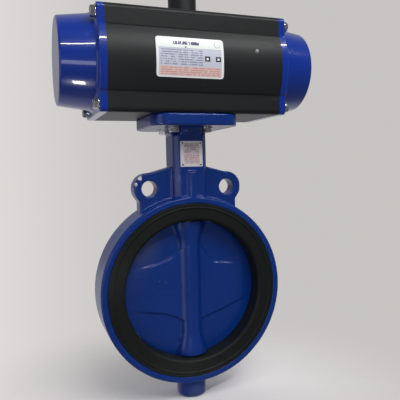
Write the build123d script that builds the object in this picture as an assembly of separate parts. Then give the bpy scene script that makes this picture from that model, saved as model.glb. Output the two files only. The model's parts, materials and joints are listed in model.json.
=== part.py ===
from build123d import *
import math
import os

# A wafer butterfly valve, DN200, turned by a rack-and-pinion pneumatic actuator.
# Millimetres. The origin is the centre of the valve's bore. +Z runs up the stem to
# the actuator, +X along the actuator's cylinder, and the flow runs along Y.

# ---- driving dimensions: valve ------------------------------------------------
RING_RADIUS = 134.5
RIM_HALF_WIDTH = 28.5
FACE_HALF_WIDTH = 30.0
SEAT_BORE_RADIUS = 100.5
SEAT_WALL = 11.5
SEAT_FLANGE_RADIUS = 125.0
SEAT_FLANGE_ROOT = 25.5
SEAT_FLANGE_TOP = 29.2
SEAT_BEAD_RADIUS = 119.0
SEAT_RIDGE_HEIGHT = 4.0
SEAT_RIDGE_HALF_WIDTH = 9.0
DISC_RADIUS = 100.15
DISC_RIM_HALF_THICKNESS = 5.0
DISC_PLATE_HALF_THICKNESS = 8.0
PANEL_HALF_THICKNESS = 10.5
HUB_RADIUS = 18.5
HUB_HALF_HEIGHT = 98.2

STEM_RADIUS = 11.0
STEM_SQUARE = 17.0
BUSH_RADIUS = 13.5
RUNNING_GAP = 0.05

WEB_HALF_THICKNESS = 12.0
LUG_X = 58.5
LUG_Z = 147.0
LUG_HOLE_RADIUS = 11.25
LUG_RADIUS = 22.5
NECK_HALF_WIDTH = 25.0
NECK_CHAMFER = 7.5
NECK_FOOT_Z = 120.0
STEM_RIB_RADIUS = 8.5
STEM_RIB_TOP = 170.0
COLLAR_RADIUS = 30.0
TOP_FLANGE_HALF = 62.5
TOP_FLANGE_CORNER = 26.0
TOP_FLANGE_Z = 232.0
FLANGE_BOLT_SPACING = 24.75
FOOT_BOSS_RADIUS = 22.0
FOOT_BOSS_END = -159.0

# ---- driving dimensions: actuator ---------------------------------------------
BODY_BOTTOM = 248.0
BODY_TOP = 384.0
AXIS_Z = (BODY_BOTTOM + BODY_TOP) / 2
BODY_HALF_LENGTH = 122.0
BODY_HALF_DEPTH = 61.0
BODY_CORNER = 6.0
BULGE_HALF_DEPTH = 71.0
BULGE_HALF_HEIGHT = 42.0
BULGE_STEP = 2.5
CYLINDER_RADIUS = 52.5
CAP_FLANGE = 10.0
CAP_END = 178.5
CAP_FLOOR = 172.0
DOME_BASE_RADIUS = 64.3
DOME_END_RADIUS = 58.0
DOME_RISE = 3.5
DOME_EDGE_ROUND = 3.0
DOME_ROOT_ROUND = 4.0
CAP_BOLT_Y = 52.0
CAP_BOLT_Z = 57.0

PORT_X = 12.0
PORT_FACE = 68.0
PORT_RADIUS = 5.8
PORT_DEPTH = 12.0
SOLENOID_HALF_X = 12.0
SOLENOID_HALF_Z = 16.0
ACCESSORY_HALF_X = 40.0
ACCESSORY_HALF_Y = 15.0
GALLERY_Y = 57.5
GALLERY_Z = 34.0
GALLERY_PLUG_X = 83.5
GALLERY_PLUG_Z = 332.0
GALLERY_PLUG_RADIUS = 3.5
GALLERY_PLUG_FOOT = 64.0
GALLERY_PLUG_FACE = 69.2

GEAR_MODULE = 2.0
GEAR_TEETH = 20
PITCH_RADIUS = GEAR_MODULE * GEAR_TEETH / 2
PRESSURE_ANGLE = math.radians(20)
FLANK_BACKLASH = 0.12
ADDENDUM = 1.8
DEDENDUM = 2.5
RACK_HALF_HEIGHT = 16.0
RACK_REACH = 38.0
RACK_BACK = 46.0
PISTON_INNER = 42.0
PISTON_OUTER = 70.0
PISTON_RADIUS = 52.1
JOURNAL_RADIUS = 17.0
JOURNAL_HOUSING_RADIUS = 19.5
TOP_JOURNAL_RADIUS = 15.0
TOP_HOUSING_RADIUS = 17.5
STOP_X = 22.0
STOP_Y = 14.0
STOP_Z = 350.0
STOP_BOLT_RADIUS = 5.0
STOP_BOSS_RADIUS = 11.0
STOP_BOSS_FACE = 67.0
SPRING_CIRCLE = 30.0
SPRING_RADIUS = 10.0
SPRING_BORE = 7.0
SPRING_POCKET = 6.0

INDICATOR_RADIUS = 20.0
INDICATOR_BASE = 387.5
INDICATOR_TOP = 420.0


# ---- plain solids -------------------------------------------------------------
def rod(radius, start, end, axis="Z", x=0.0, y=0.0, z=0.0):
    """A cylinder from start to end along the named axis, through the given point."""
    middle = (start + end) / 2
    length = abs(end - start)
    if axis == "X":
        return Pos(middle, y, z) * Rot(0, 90, 0) * Cylinder(radius, length)
    if axis == "Y":
        return Pos(x, middle, z) * Rot(90, 0, 0) * Cylinder(radius, length)
    return Pos(x, y, middle) * Cylinder(radius, length)


def pipe(outer, inner, start, end, **place):
    """A round tube."""
    return rod(outer, start, end, **place) - rod(inner, start - 1, end + 1, **place)


def block(x0, x1, y0, y1, z0, z1):
    """A box between two corners."""
    middle = Pos((x0 + x1) / 2, (y0 + y1) / 2, (z0 + z1) / 2)
    return middle * Box(x1 - x0, y1 - y0, z1 - z0)


def hex_prism(across_flats, start, end, axis="Z", x=0.0, y=0.0, z=0.0):
    """A hexagonal nut or bolt head, from start to end along the named axis."""
    low = min(start, end)
    shape = extrude(RegularPolygon(across_flats / 2, 6, major_radius=False), abs(end - start))
    if axis == "X":
        return Pos(low, y, z) * Rot(0, 90, 0) * shape
    if axis == "Y":
        return Pos(x, low, z) * Rot(-90, 0, 0) * shape
    return Pos(x, y, low) * shape


def turned_about_y(points):
    """Revolve a closed outline of (radius, y) points about the bore's axis."""
    outline = make_face(Polyline(*points, close=True))
    return revolve(outline, Axis.Y)


def turned_about_x(points):
    """Revolve a closed outline of (x, radius) points about the cylinder's axis."""
    outline = make_face(Polyline(*points, close=True))
    return Pos(0, 0, AXIS_Z) * revolve(outline, Axis.X)


def other_side(shape):
    """The same shape mirrored to the other end of the actuator."""
    return mirror(shape, Plane.YZ)


def half_turned(shape):
    """The same shape turned half a turn about the stem."""
    return Rot(0, 0, 180) * shape


def group(shapes):
    """Separate solids that are kept in one node, such as a set of bolts."""
    return Compound([shape.solid() for shape in shapes])


def four_corners(half_x, half_y):
    return [(sx * half_x, sy * half_y) for sx in (-1, 1) for sy in (-1, 1)]


# ---- valve body -----------------------------------------------------------------
def ring():
    """The wafer ring, bored for the rubber seat and recessed for its flanges."""
    seat_bed = SEAT_BORE_RADIUS + SEAT_WALL
    ridge = seat_bed + SEAT_RIDGE_HEIGHT
    solid = rod(RING_RADIUS, -RIM_HALF_WIDTH, RIM_HALF_WIDTH, axis="Y")
    rim_edges = solid.edges().filter_by(GeomType.CIRCLE)
    solid = fillet(rim_edges, 2.0)
    solid -= rod(seat_bed, -40, 40, axis="Y")
    solid -= rod(ridge, -SEAT_RIDGE_HALF_WIDTH, SEAT_RIDGE_HALF_WIDTH, axis="Y")
    for side in (-1, 1):
        solid -= rod(SEAT_FLANGE_RADIUS, side * SEAT_FLANGE_ROOT, side * 40, axis="Y")
    return solid


def lug_web():
    """The plate on top of the ring, with a lug and a guide hole at each side."""
    foot_x, shoulder_x, shoulder_z = 73.0, 28.0, 177.0
    plate = make_face(Polyline(
        (-foot_x, 100), (-foot_x, 130), (-LUG_X - 6, LUG_Z + 20),
        (-shoulder_x, shoulder_z), (shoulder_x, shoulder_z),
        (LUG_X + 6, LUG_Z + 20), (foot_x, 130), (foot_x, 100), close=True))
    for side in (-1, 1):
        plate += Pos(side * LUG_X, LUG_Z) * Circle(LUG_RADIUS)
    web = extrude(Plane.XZ * plate, WEB_HALF_THICKNESS, both=True)
    for side in (-1, 1):
        web -= rod(LUG_HOLE_RADIUS, -20, 20, axis="Y", x=side * LUG_X, z=LUG_Z)
    return web


def neck():
    """The chamfered square column from the ring to the top flange, and its boss."""
    square = Rectangle(2 * NECK_HALF_WIDTH, 2 * NECK_HALF_WIDTH)
    section = chamfer(square.vertices(), NECK_CHAMFER)
    column = Pos(0, 0, NECK_FOOT_Z) * extrude(section, TOP_FLANGE_Z + 1 - NECK_FOOT_Z)
    collar = rod(COLLAR_RADIUS, TOP_FLANGE_Z - 8, TOP_FLANGE_Z + 1)
    rib = rod(STEM_RIB_RADIUS, NECK_FOOT_Z, STEM_RIB_TOP, y=STEM_RIB_RADIUS - RIM_HALF_WIDTH)
    return column + collar + rib


def top_flange():
    """The mounting plate under the actuator, a rounded square."""
    square = RectangleRounded(2 * TOP_FLANGE_HALF, 2 * TOP_FLANGE_HALF, TOP_FLANGE_CORNER)
    plate = Pos(0, 0, TOP_FLANGE_Z) * extrude(square, BODY_BOTTOM - TOP_FLANGE_Z)
    return fillet(plate.faces().sort_by(Axis.Z)[0].edges(), 1.5)


def valve_body():
    seat_bed = SEAT_BORE_RADIUS + SEAT_WALL
    casting = lug_web() + neck() + top_flange()
    foot = rod(FOOT_BOSS_RADIUS, FOOT_BOSS_END, -120)
    casting += fillet(foot.faces().sort_by(Axis.Z)[0].edges(), 3.0)
    casting -= rod(RING_RADIUS - 4, -40, 40, axis="Y")
    casting += ring()
    casting -= rod(BUSH_RADIUS, seat_bed - 2, BODY_BOTTOM + 1)
    casting -= rod(16.0, BODY_BOTTOM - 5, BODY_BOTTOM + 1)
    casting -= rod(BUSH_RADIUS, -146, -seat_bed + 2)
    casting -= rod(15.0, FOOT_BOSS_END - 1, -146)
    for x, y in four_corners(FLANGE_BOLT_SPACING, FLANGE_BOLT_SPACING):
        casting -= rod(4.5, TOP_FLANGE_Z - 2, BODY_BOTTOM + 1, x=x, y=y)
        casting -= rod(9.0, TOP_FLANGE_Z - 10, TOP_FLANGE_Z, x=x, y=y)
    return casting


def seat_liner():
    """The rubber seat: a lining of the bore with a flange and a bead on each face."""
    outer = SEAT_BORE_RADIUS + SEAT_WALL
    ridge = outer + SEAT_RIDGE_HEIGHT
    half = [
        (SEAT_BORE_RADIUS, 0), (SEAT_BORE_RADIUS, SEAT_FLANGE_TOP - 2.5),
        (SEAT_BORE_RADIUS + 2.5, SEAT_FLANGE_TOP),
        (SEAT_BEAD_RADIUS - 2, SEAT_FLANGE_TOP), (SEAT_BEAD_RADIUS - 1, FACE_HALF_WIDTH),
        (SEAT_BEAD_RADIUS + 1, FACE_HALF_WIDTH), (SEAT_BEAD_RADIUS + 2, SEAT_FLANGE_TOP),
        (SEAT_FLANGE_RADIUS, SEAT_FLANGE_TOP), (SEAT_FLANGE_RADIUS, SEAT_FLANGE_ROOT),
        (outer, SEAT_FLANGE_ROOT), (outer, SEAT_RIDGE_HALF_WIDTH),
        (ridge, SEAT_RIDGE_HALF_WIDTH), (ridge, 0)]
    other_half = [(r, -y) for r, y in reversed(half[1:-1])]
    liner = turned_about_y(half + other_half)
    stem_hole = STEM_RADIUS + RUNNING_GAP
    return liner - rod(stem_hole, -130, 130)


def bush(low, high):
    return pipe(BUSH_RADIUS, STEM_RADIUS + RUNNING_GAP, low, high)


def pinion_bearing(housing, journal, low, high):
    return pipe(housing, journal + RUNNING_GAP, low, high)


def round_seal(inner, outer, height):
    """A rubber ring that fills the gap between a shaft and its housing."""
    section = (outer - inner - RUNNING_GAP) / 2
    return Pos(0, 0, height) * Torus(outer - section, section)


def bottom_plug():
    """The socket-headed plug that closes the foot boss under the lower stem."""
    plug = rod(15.0, FOOT_BOSS_END + 1, -147.5)
    return plug - hex_prism(12.0, FOOT_BOSS_END, FOOT_BOSS_END + 7)


def neck_nameplate():
    front = -NECK_HALF_WIDTH
    plate = block(-16.5, 16.5, front - 0.8, front, 177, 213)
    return fillet(plate.edges().filter_by(Axis.Y), 1.5)


def nameplate_rivets():
    front = -NECK_HALF_WIDTH - 0.8
    rivets = []
    for x, z in four_corners(13.5, 15.0):
        head = rod(1.6, front - 0.9, front, axis="Y", x=x, z=195 + z)
        rivets.append(head)
    return group(rivets)


# ---- disc and stems ---------------------------------------------------------------
def disc_plate():
    """A ball-edged plate, thick at the hub and thinner at its rim."""
    ball = Sphere(DISC_RADIUS)
    rim, middle = DISC_RIM_HALF_THICKNESS, DISC_PLATE_HALF_THICKNESS
    lens = turned_about_y([
        (0, -middle), (60, -middle), (92, -rim), (110, -rim),
        (110, rim), (92, rim), (60, middle), (0, middle)])
    return ball & lens


def disc_ribs():
    """Low wedge-shaped panels that run from the hub towards the rim on both faces."""
    ribs = None
    for side in (-1, 1):
        wedge = make_face(Polyline(
            (side * 8, 54), (side * 22, 47), (side * 38, 36), (side * 84, 31),
            (side * 88, 0), (side * 80, -27), (side * 24, -45), (side * 8, -50), close=True))
        for face in (-1, 1):
            panel = extrude(Plane.XZ * wedge, face * PANEL_HALF_THICKNESS)
            ribs = panel if ribs is None else ribs + panel
    return ribs


def disc_hub():
    """The barrel that holds the stems, flared at both ends."""
    barrel = rod(HUB_RADIUS - 1.5, -HUB_HALF_HEIGHT, HUB_HALF_HEIGHT)
    for side in (-1, 1):
        flare = Cone(HUB_RADIUS - 1.5, HUB_RADIUS + 2, 14)
        end = Pos(0, 0, HUB_HALF_HEIGHT - 7) * flare
        barrel += end if side > 0 else mirror(end, Plane.XY)
    return barrel


def disc():
    solid = disc_plate() + disc_ribs() + disc_hub()
    solid &= Sphere(DISC_RADIUS)
    solid &= block(-110, 110, -60, 60, -HUB_HALF_HEIGHT, HUB_HALF_HEIGHT)
    solid -= rod(STEM_RADIUS, 60, 110)
    solid -= block(-7.5, 7.5, -7.5, 7.5, 19, 61)
    solid -= rod(STEM_RADIUS, -110, -25)
    return solid


def upper_stem():
    """The driven stem: square in the disc, round in the neck, square in the pinion."""
    shaft = rod(STEM_RADIUS, 60, BODY_BOTTOM)
    shaft += block(-7.5, 7.5, -7.5, 7.5, 20, 60)
    half = STEM_SQUARE / 2
    drive = block(-half, half, -half, half, BODY_BOTTOM - 1, BODY_BOTTOM + 28)
    shaft += drive & rod(STEM_RADIUS + 0.8, BODY_BOTTOM - 1, BODY_BOTTOM + 28)
    return shaft - pipe(STEM_RADIUS + 1, STEM_RADIUS - 0.8, 244.5, 246)


def lower_stem():
    return chamfer(rod(STEM_RADIUS, -145, -25).edges().filter_by(GeomType.CIRCLE), 1.0)


def snap_ring(inner, outer, low, high):
    """An open retaining ring with its gap towards +X."""
    gap = block(0, outer + 1, -2.5, 2.5, low - 1, high + 1)
    return pipe(outer, inner, low, high) - gap


# ---- actuator casing --------------------------------------------------------------
def body_section():
    """The extrusion's outline: flat top and bottom bands and a bulged band between."""
    d, r = BODY_HALF_DEPTH, BODY_CORNER
    low, high = AXIS_Z - BULGE_HALF_HEIGHT, AXIS_Z + BULGE_HALF_HEIGHT
    corner = r * (1 - math.sqrt(0.5))
    edge = d + BULGE_STEP
    half = make_face([
        Line((0, BODY_BOTTOM), (d - r, BODY_BOTTOM)),
        ThreePointArc((d - r, BODY_BOTTOM), (d - corner, BODY_BOTTOM + corner),
                      (d, BODY_BOTTOM + r)),
        Line((d, BODY_BOTTOM + r), (d, low)),
        Line((d, low), (edge, low + BULGE_STEP)),
        ThreePointArc((edge, low + BULGE_STEP), (BULGE_HALF_DEPTH, AXIS_Z),
                      (edge, high - BULGE_STEP)),
        Line((edge, high - BULGE_STEP), (d, high)),
        Line((d, high), (d, BODY_TOP - r)),
        ThreePointArc((d, BODY_TOP - r), (d - corner, BODY_TOP - corner),
                      (d - r, BODY_TOP)),
        Line((d - r, BODY_TOP), (0, BODY_TOP)),
        Line((0, BODY_TOP), (0, BODY_BOTTOM)),
    ])
    return half + mirror(half, Plane.YZ)


def section_slab(x0, x1):
    """The actuator's outline, extruded along X."""
    return Pos(x0, 0, 0) * extrude(Plane.YZ * body_section(), x1 - x0)


def air_passages():
    """The ports' bores, the feed to the middle chamber and the galleries to the caps."""
    cut = None
    for side in (-1, 1):
        port = rod(PORT_RADIUS, PORT_FACE - PORT_DEPTH, 80, axis="Y", x=side * PORT_X, z=AXIS_Z)
        cut = port if cut is None else cut + port
    cut += rod(3.0, 45, 60, axis="Y", x=-PORT_X, z=AXIS_Z)
    cut += rod(2.5, AXIS_Z, AXIS_Z + GALLERY_Z, x=PORT_X, y=GALLERY_Y)
    cut += rod(2.5, -BODY_HALF_LENGTH - 1, BODY_HALF_LENGTH + 1, axis="X",
               y=GALLERY_Y, z=AXIS_Z + GALLERY_Z)
    return cut


def actuator_body():
    solid = section_slab(-BODY_HALF_LENGTH, BODY_HALF_LENGTH)
    solid -= rod(CYLINDER_RADIUS, -130, 130, axis="X", z=AXIS_Z)
    solid -= rod(JOURNAL_HOUSING_RADIUS, BODY_BOTTOM - 1, AXIS_Z)
    solid -= rod(TOP_HOUSING_RADIUS, AXIS_Z, BODY_TOP + 1)
    solid -= block(-26, 26, PORT_FACE, 80, AXIS_Z - 24, AXIS_Z + 24)
    solid -= air_passages()
    for x, z in four_corners(SOLENOID_HALF_X, SOLENOID_HALF_Z):
        solid -= rod(2.5, PORT_FACE - 9, 80, axis="Y", x=x, z=AXIS_Z + z)
    for x, y in four_corners(ACCESSORY_HALF_X, ACCESSORY_HALF_Y):
        solid -= rod(2.5, BODY_TOP - 8, BODY_TOP + 1, x=x, y=y)
    for x, y in four_corners(FLANGE_BOLT_SPACING, FLANGE_BOLT_SPACING):
        solid -= rod(4.0, BODY_BOTTOM - 1, BODY_BOTTOM + 13, x=x, y=y)
    for side in (-1, 1):
        solid += rod(STOP_BOSS_RADIUS, BODY_HALF_DEPTH - 3, STOP_BOSS_FACE, axis="Y",
                     x=side * STOP_X, z=STOP_Z)
        solid -= rod(STOP_BOSS_RADIUS, STOP_BOSS_FACE, 80, axis="Y", x=side * STOP_X, z=STOP_Z)
        solid -= rod(STOP_BOLT_RADIUS, 20, 80, axis="Y", x=side * STOP_X, z=STOP_Z)
        for y, z in four_corners(CAP_BOLT_Y, CAP_BOLT_Z):
            end = side * BODY_HALF_LENGTH
            solid -= rod(4.0, end - side * 28, end + side, axis="X", y=y, z=AXIS_Z + z)
    for side in (-1, 1):
        solid -= rod(GALLERY_PLUG_RADIUS, side * GALLERY_PLUG_FOOT, side * 80, axis="Y",
                     x=-side * GALLERY_PLUG_X, z=GALLERY_PLUG_Z)
    return solid


def gallery_plugs():
    """Two small screwed plugs, one in the front of the body and one in the back."""
    return group([rod(GALLERY_PLUG_RADIUS, side * GALLERY_PLUG_FOOT, side * GALLERY_PLUG_FACE,
                      axis="Y", x=-side * GALLERY_PLUG_X, z=GALLERY_PLUG_Z)
                  for side in (-1, 1)])


def dome_root(shoulder):
    """The hollow curve where the dome meets its flange."""
    steps = 6
    outline = [(shoulder - 1, DOME_BASE_RADIUS - 3)]
    outline.append((shoulder - 1, DOME_BASE_RADIUS + DOME_ROOT_ROUND))
    for i in range(steps + 1):
        turn = math.radians(90 * i / steps)
        outline.append((shoulder + DOME_ROOT_ROUND * (1 - math.cos(turn)),
                        DOME_BASE_RADIUS + DOME_ROOT_ROUND * (1 - math.sin(turn))))
    outline.append((shoulder + DOME_ROOT_ROUND, DOME_BASE_RADIUS - 3))
    return turned_about_x(outline)


def right_end_cap():
    """A flanged cup that closes the cylinder and holds the springs."""
    face = BODY_HALF_LENGTH
    shoulder = face + CAP_FLANGE
    cap = section_slab(face, shoulder)
    cap = fillet(cap.faces().sort_by(Axis.X)[-1].edges(), 1.5)
    dome = turned_about_x([
        (shoulder - 1, 0), (shoulder - 1, DOME_BASE_RADIUS), (CAP_END, DOME_END_RADIUS),
        (CAP_END, 0)])
    dome = fillet(dome.faces().sort_by(Axis.X)[-1].edges(), DOME_EDGE_ROUND)
    cap += Pos(0, 0, DOME_RISE) * (dome + dome_root(shoulder))
    cap &= section_slab(face, CAP_END + 1)
    cap -= turned_about_x([
        (face - 1, 0), (face - 1, CYLINDER_RADIUS), (CAP_FLOOR - 8, CYLINDER_RADIUS - 2),
        (CAP_FLOOR, CYLINDER_RADIUS - 10), (CAP_FLOOR, 0)])
    for y, z in four_corners(CAP_BOLT_Y, CAP_BOLT_Z):
        cap -= rod(4.5, face - 1, shoulder + 1, axis="X", y=y, z=AXIS_Z + z)
        cap -= rod(8.5, shoulder, shoulder + 20, axis="X", y=y, z=AXIS_Z + z)
    cap -= pipe(58.6, 54.4, face - 1, face + 2.0, axis="X", z=AXIS_Z)
    return cap


def right_cap_seal():
    """The rubber ring in the cap's groove."""
    ring = Torus(56.5, 1.0)
    return Pos(BODY_HALF_LENGTH + 1.0, 0, AXIS_Z) * Rot(0, 90, 0) * ring


def right_cap_washers():
    shoulder = BODY_HALF_LENGTH + CAP_FLANGE
    return group([pipe(8.0, 4.2, shoulder, shoulder + 1.6, axis="X", y=y, z=AXIS_Z + z)
                  for y, z in four_corners(CAP_BOLT_Y, CAP_BOLT_Z)])


def right_cap_bolts():
    """Hexagon-headed bolts, through the cap and into the extrusion."""
    seat = BODY_HALF_LENGTH + CAP_FLANGE + 1.6
    bolts = []
    for y, z in four_corners(CAP_BOLT_Y, CAP_BOLT_Z):
        shank = rod(3.95, BODY_HALF_LENGTH - 24, seat + 1, axis="X", y=y, z=AXIS_Z + z)
        head = hex_prism(13.0, seat, seat + 5.5, axis="X", y=y, z=AXIS_Z + z)
        bolts.append(shank + head)
    return group(bolts)


def flange_washers():
    return group([pipe(8.0, 4.2, TOP_FLANGE_Z - 1.6, TOP_FLANGE_Z, x=x, y=y)
                  for x, y in four_corners(FLANGE_BOLT_SPACING, FLANGE_BOLT_SPACING)])


def flange_bolts():
    """Hexagon-headed bolts, up through the top flange and into the actuator."""
    seat = TOP_FLANGE_Z - 1.6
    bolts = []
    for x, y in four_corners(FLANGE_BOLT_SPACING, FLANGE_BOLT_SPACING):
        shank = rod(3.95, seat - 1, BODY_BOTTOM + 11, x=x, y=y)
        bolts.append(shank + hex_prism(13.0, seat - 5.5, seat, x=x, y=y))
    return group(bolts)


def stop_bolts():
    """The two travel stops, which meet the pinion's cam at the ends of its turn."""
    tip = STOP_Y + 0.1
    bolts = []
    for side in (-1, 1):
        shank = rod(STOP_BOLT_RADIUS - 0.05, tip, 84, axis="Y", x=side * STOP_X, z=STOP_Z)
        socket = hex_prism(5.0, 79, 85, axis="Y", x=side * STOP_X, z=STOP_Z)
        bolts.append(shank - socket)
    return group(bolts)


def stop_lock_nuts():
    nuts = []
    for side in (-1, 1):
        nut = hex_prism(17.0, 68.5, 76.5, axis="Y", x=side * STOP_X, z=STOP_Z)
        nuts.append(nut - rod(STOP_BOLT_RADIUS, 60, 80, axis="Y", x=side * STOP_X, z=STOP_Z))
    return group(nuts)


def stop_seals():
    return group([pipe(8.4, STOP_BOLT_RADIUS, STOP_BOSS_FACE, STOP_BOSS_FACE + 1.5, axis="Y",
                       x=side * STOP_X, z=STOP_Z) for side in (-1, 1)])


def actuator_label():
    """A thin printed plate on the front bulge, bent to follow it."""
    sheet = block(-60, 33, -80, -60, 292.5, 344)
    skin = Plane.YZ * body_section()
    outer = extrude(offset_section(0.35), 100, both=True)
    inner = extrude(skin, 110, both=True)
    plate = fillet(sheet.edges().filter_by(Axis.Y), 4.0)
    return (plate & outer) - inner


def offset_section(distance):
    return Plane.YZ * offset(body_section(), distance)


# ---- actuator's moving pieces -------------------------------------------------------
def involute_flank(base_radius, tip_radius, steps=5):
    """Points of one involute flank, as (angle, radius) from the base to the tip."""
    flank = []
    longest = math.sqrt((tip_radius / base_radius) ** 2 - 1)
    for i in range(steps + 1):
        roll = longest * i / steps
        radius = base_radius * math.sqrt(1 + roll ** 2)
        flank.append((roll - math.atan(roll), radius))
    return flank


def polar(angle, radius):
    return (radius * math.cos(angle), radius * math.sin(angle))


def gear_section():
    """The pinion's toothed outline, with one tooth on the +X axis."""
    base = PITCH_RADIUS * math.cos(PRESSURE_ANGLE)
    root = PITCH_RADIUS - DEDENDUM
    flank = involute_flank(base, PITCH_RADIUS + ADDENDUM)
    pitch_roll = math.tan(PRESSURE_ANGLE) - PRESSURE_ANGLE
    half_tooth = math.pi / (2 * GEAR_TEETH) - FLANK_BACKLASH / PITCH_RADIUS / 2 + pitch_roll
    outline = []
    for tooth in range(GEAR_TEETH):
        centre = 2 * math.pi * tooth / GEAR_TEETH
        outline.append(polar(centre - half_tooth, root))
        outline += [polar(centre - half_tooth + a, r) for a, r in flank]
        outline += [polar(centre + half_tooth - a, r) for a, r in reversed(flank)]
        outline.append(polar(centre + half_tooth, root))
    return make_face(Polyline(*outline, close=True))


def stop_cam():
    """The cam that turns between the two stop bolts."""
    low, high = STOP_Z - 7, STOP_Z + 7
    arm = STOP_BOLT_RADIUS + 1
    closed_arm = block(-STOP_X - arm, 0, 0, STOP_Y, low, high)
    open_arm = block(0, STOP_Y, -STOP_X - arm, 0, low, high)
    return closed_arm + open_arm + rod(JOURNAL_RADIUS, low, high)


def pinion():
    """The actuator's shaft: journals, gear, stop cam, stem socket and top drive."""
    low, high = AXIS_Z - RACK_HALF_HEIGHT, AXIS_Z + RACK_HALF_HEIGHT
    shaft = rod(JOURNAL_RADIUS, BODY_BOTTOM + 0.5, STOP_Z)
    shaft += Pos(0, 0, low) * extrude(gear_section(), high - low)
    shaft += stop_cam()
    shaft += rod(TOP_JOURNAL_RADIUS, STOP_Z, INDICATOR_BASE)
    shaft += rod(9.0, INDICATOR_BASE - 1, INDICATOR_BASE + 16)
    shaft -= pipe(TOP_JOURNAL_RADIUS + 1, TOP_JOURNAL_RADIUS - 1, 385.6, 387.1)
    half = STEM_SQUARE / 2
    socket = block(-half, half, -half, half, BODY_BOTTOM, BODY_BOTTOM + 30)
    shaft -= socket & rod(STEM_RADIUS + 0.8, BODY_BOTTOM, BODY_BOTTOM + 30)
    return shaft - rod(2.5, INDICATOR_BASE + 4, INDICATOR_BASE + 20)


def rack_teeth():
    """The right-hand piston's rack teeth, in mesh with the pinion at rest."""
    pitch = math.pi * GEAR_MODULE
    slope = math.tan(PRESSURE_ANGLE)
    half_pitch_width = pitch / 4 - FLANK_BACKLASH / 2
    tip = half_pitch_width - ADDENDUM * slope
    foot = half_pitch_width + DEDENDUM * slope
    tip_y, foot_y = -PITCH_RADIUS + ADDENDUM, -PITCH_RADIUS - DEDENDUM
    count = int(RACK_REACH // pitch)
    teeth = []
    for i in range(-count, 4):
        x = (i + 0.5) * pitch
        tooth = make_face(Polyline(
            (x - foot, foot_y), (x - tip, tip_y), (x + tip, tip_y), (x + foot, foot_y),
            close=True))
        teeth.append(tooth)
    low, high = AXIS_Z - RACK_HALF_HEIGHT, AXIS_Z + RACK_HALF_HEIGHT
    return [Pos(0, 0, low) * extrude(tooth, high - low) for tooth in teeth]


def spring_places():
    """The centre of each return spring, as (y, z): one in the middle, four around."""
    ring = [(SPRING_CIRCLE * math.cos(math.radians(a)), SPRING_CIRCLE * math.sin(math.radians(a)))
            for a in (45, 135, 225, 315)]
    return [(0.0, 0.0)] + ring


def right_piston():
    """A piston head with its rack, which reaches past the pinion on the front side."""
    low, high = AXIS_Z - RACK_HALF_HEIGHT, AXIS_Z + RACK_HALF_HEIGHT
    head = rod(PISTON_RADIUS, PISTON_INNER, PISTON_OUTER, axis="X", z=AXIS_Z)
    foot_y = -PITCH_RADIUS - DEDENDUM
    bar = block(-RACK_REACH, PISTON_INNER + 2, -RACK_BACK, foot_y, low, high)
    bar &= rod(50.0, -60, 60, axis="X", z=AXIS_Z)
    solid = head + bar
    for tooth in rack_teeth():
        solid += tooth
    solid -= pipe(60, 50.0, 46, 56, axis="X", z=AXIS_Z)
    solid -= pipe(60, 49.8, 60, 64, axis="X", z=AXIS_Z)
    for y, z in spring_places():
        solid -= rod(SPRING_RADIUS + 0.5, PISTON_OUTER - SPRING_POCKET, PISTON_OUTER + 1,
                     axis="X", y=y, z=AXIS_Z + z)
    return solid


def right_piston_band():
    """The plastic guide band round the piston head."""
    return pipe(CYLINDER_RADIUS - RUNNING_GAP, 50.0, 46, 56, axis="X", z=AXIS_Z)


def right_piston_seal():
    """The rubber ring round the piston head."""
    section = (CYLINDER_RADIUS - RUNNING_GAP - 49.8) / 2
    ring = Torus(49.8 + section, section)
    return Pos(62, 0, AXIS_Z) * Rot(0, 90, 0) * ring


def right_rack_pad():
    """The plastic pad that backs the rack against the cylinder's wall."""
    pad = block(-RACK_REACH + 2, 20, -60, -RACK_BACK, AXIS_Z - 12, AXIS_Z + 12)
    return pad & rod(CYLINDER_RADIUS - RUNNING_GAP, -60, 60, axis="X", z=AXIS_Z)


def right_springs():
    """The return springs' outer shapes, from the piston's pockets to the cap's floor."""
    return group([pipe(SPRING_RADIUS, SPRING_BORE, PISTON_OUTER - SPRING_POCKET + 0.3,
                       CAP_FLOOR - 0.3, axis="X", y=y, z=AXIS_Z + z)
                  for y, z in spring_places()])


def indicator_cap():
    """The round black indicator on the pinion's top."""
    cap = rod(INDICATOR_RADIUS, INDICATOR_BASE, INDICATOR_TOP)
    cap = fillet(cap.edges().filter_by(GeomType.CIRCLE).sort_by(Axis.Z)[-1], 3.0)
    cap -= rod(9.0, INDICATOR_BASE - 1, INDICATOR_BASE + 16)
    cap -= rod(2.7, INDICATOR_BASE, INDICATOR_TOP + 1)
    cap -= rod(5.0, INDICATOR_TOP - 7, INDICATOR_TOP + 1)
    cap -= indicator_pointer_blank()
    return cap


def indicator_pointer_blank():
    """Two bars across the indicator's top, in line with the disc."""
    bars = None
    for side in (-1, 1):
        bar = block(min(side * 7, side * 17), max(side * 7, side * 17), -3, 3,
                    INDICATOR_TOP - 1.5, INDICATOR_TOP + 1)
        bars = bar if bars is None else bars + bar
    return bars


def indicator_pointers():
    top = INDICATOR_TOP - 0.1
    bars = [block(7, 17, -3, 3, INDICATOR_TOP - 1.5, top)]
    bars.append(other_side(bars[0]))
    return group(bars)


def indicator_screw():
    shank = rod(2.5, INDICATOR_BASE + 5, INDICATOR_TOP - 6)
    head = rod(4.5, INDICATOR_TOP - 7, INDICATOR_TOP - 3)
    return shank + head - hex_prism(4.0, INDICATOR_TOP - 5.5, INDICATOR_TOP - 2)


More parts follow.
